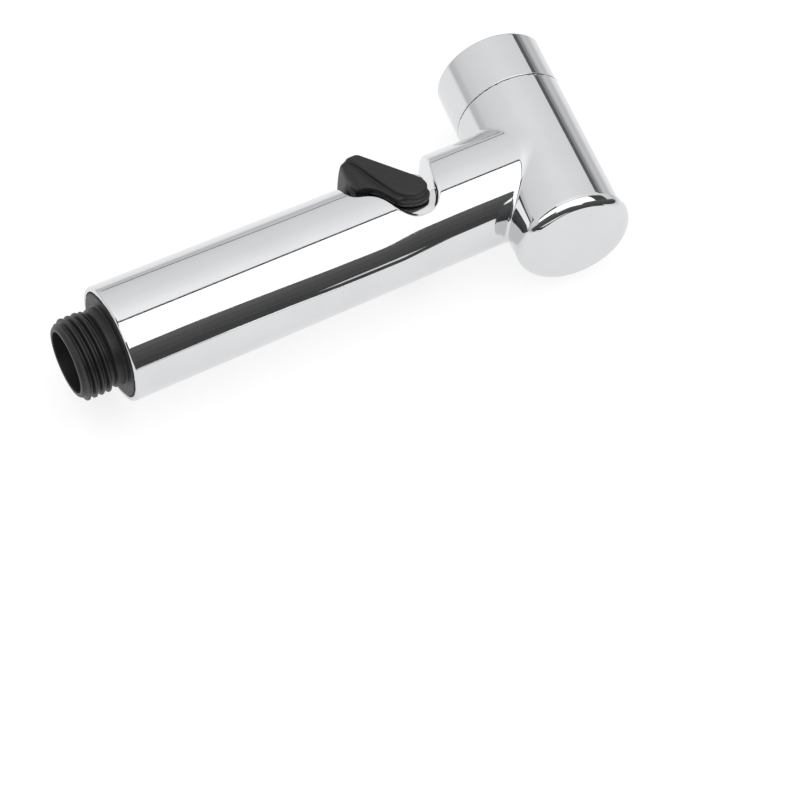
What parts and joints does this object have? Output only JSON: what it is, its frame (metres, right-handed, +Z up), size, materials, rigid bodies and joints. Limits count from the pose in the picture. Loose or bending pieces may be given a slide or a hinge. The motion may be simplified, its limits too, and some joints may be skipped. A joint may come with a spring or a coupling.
{
  "type": "handheld bath sprayer",
  "caption": "Thumb-operated hand sprayer with a straight tube handle, a threaded inlet, a push valve under a saddle lever and a round head set across the end with a perforated spray plate.",
  "frame": {"origin": "middle of the underside of the bounding box, with the sprayer lying on its side", "axes": "+X along the handle from the inlet to the head, +Y towards the side that the nozzle points to, +Z up across the handle"},
  "size_m": [0.1524, 0.0624, 0.0328],
  "materials": {
    "chrome_plating": "bright chrome plating on moulded ABS, mirror polished",
    "black_plastic": "satin black moulded plastic",
    "core_plastic": "natural acetal",
    "seal_rubber": "matt nitrile rubber",
    "brass": "turned brass",
    "stainless": "drawn stainless steel",
    "spray_plate_steel": "satin stainless sheet with fine punched holes"
  },
  "bodies": {
    "handle": {"handle_shell": "chrome_plating", "inlet_nipple": "black_plastic", "nipple_o_ring": "seal_rubber", "water_core": "core_plastic", "valve_seat": "brass", "valve_plug": "core_plastic", "plug_o_ring": "seal_rubber", "gland_nut": "brass", "stem_o_ring_1": "seal_rubber", "stem_o_ring_2": "seal_rubber", "valve_spring": "stainless", "tube_o_ring": "seal_rubber", "nozzle_socket": "core_plastic", "collar_o_ring": "seal_rubber", "lever_pin_left": "stainless", "lever_pin_right": "stainless"},
    "lever": {"lever": "black_plastic", "thumb_plate": "chrome_plating"},
    "valve": {"valve_stem": "stainless", "stem_cap": "core_plastic", "valve_washer": "seal_rubber", "washer_retainer": "brass"},
    "plate_stack": {"spray_plate": "spray_plate_steel", "plate_gasket": "seal_rubber"},
    "collar": {"nozzle_collar": "chrome_plating"}
  },
  "joints": [
    {"name": "lever_press", "type": "hinge", "parent": "handle", "child": "lever", "pos_m": [0.01803, -0.00565, 0.0164], "axis": [0, 0, 1], "range_deg": [0, 5], "stiffness_Nm_per_rad": 0.6, "springref_deg": -5.73},
    {"name": "valve_slide", "type": "slide", "parent": "handle", "child": "valve", "axis": [0, -1, 0], "range_m": [0, 0.00081], "deforming": ["valve_spring"]},
    {"name": "plate_lift", "type": "slide", "parent": "handle", "child": "plate_stack", "axis": [0.1613, 0.9869, 0], "range_m": [0, 0.00451]},
    {"name": "collar_turn", "type": "hinge", "parent": "plate_stack", "child": "collar", "pos_m": [0.05593, -0.00455, 0.0164], "axis": [0.1613, 0.9869, 0], "range_deg": [0, 1080]}
  ],
  "couplings": [
    {"joint": "valve_slide", "follows": "lever_press", "m_per_rad": 0.0092},
    {"joint": "plate_lift", "follows": "collar_turn", "m_per_rad": 0.00023873}
  ]
}
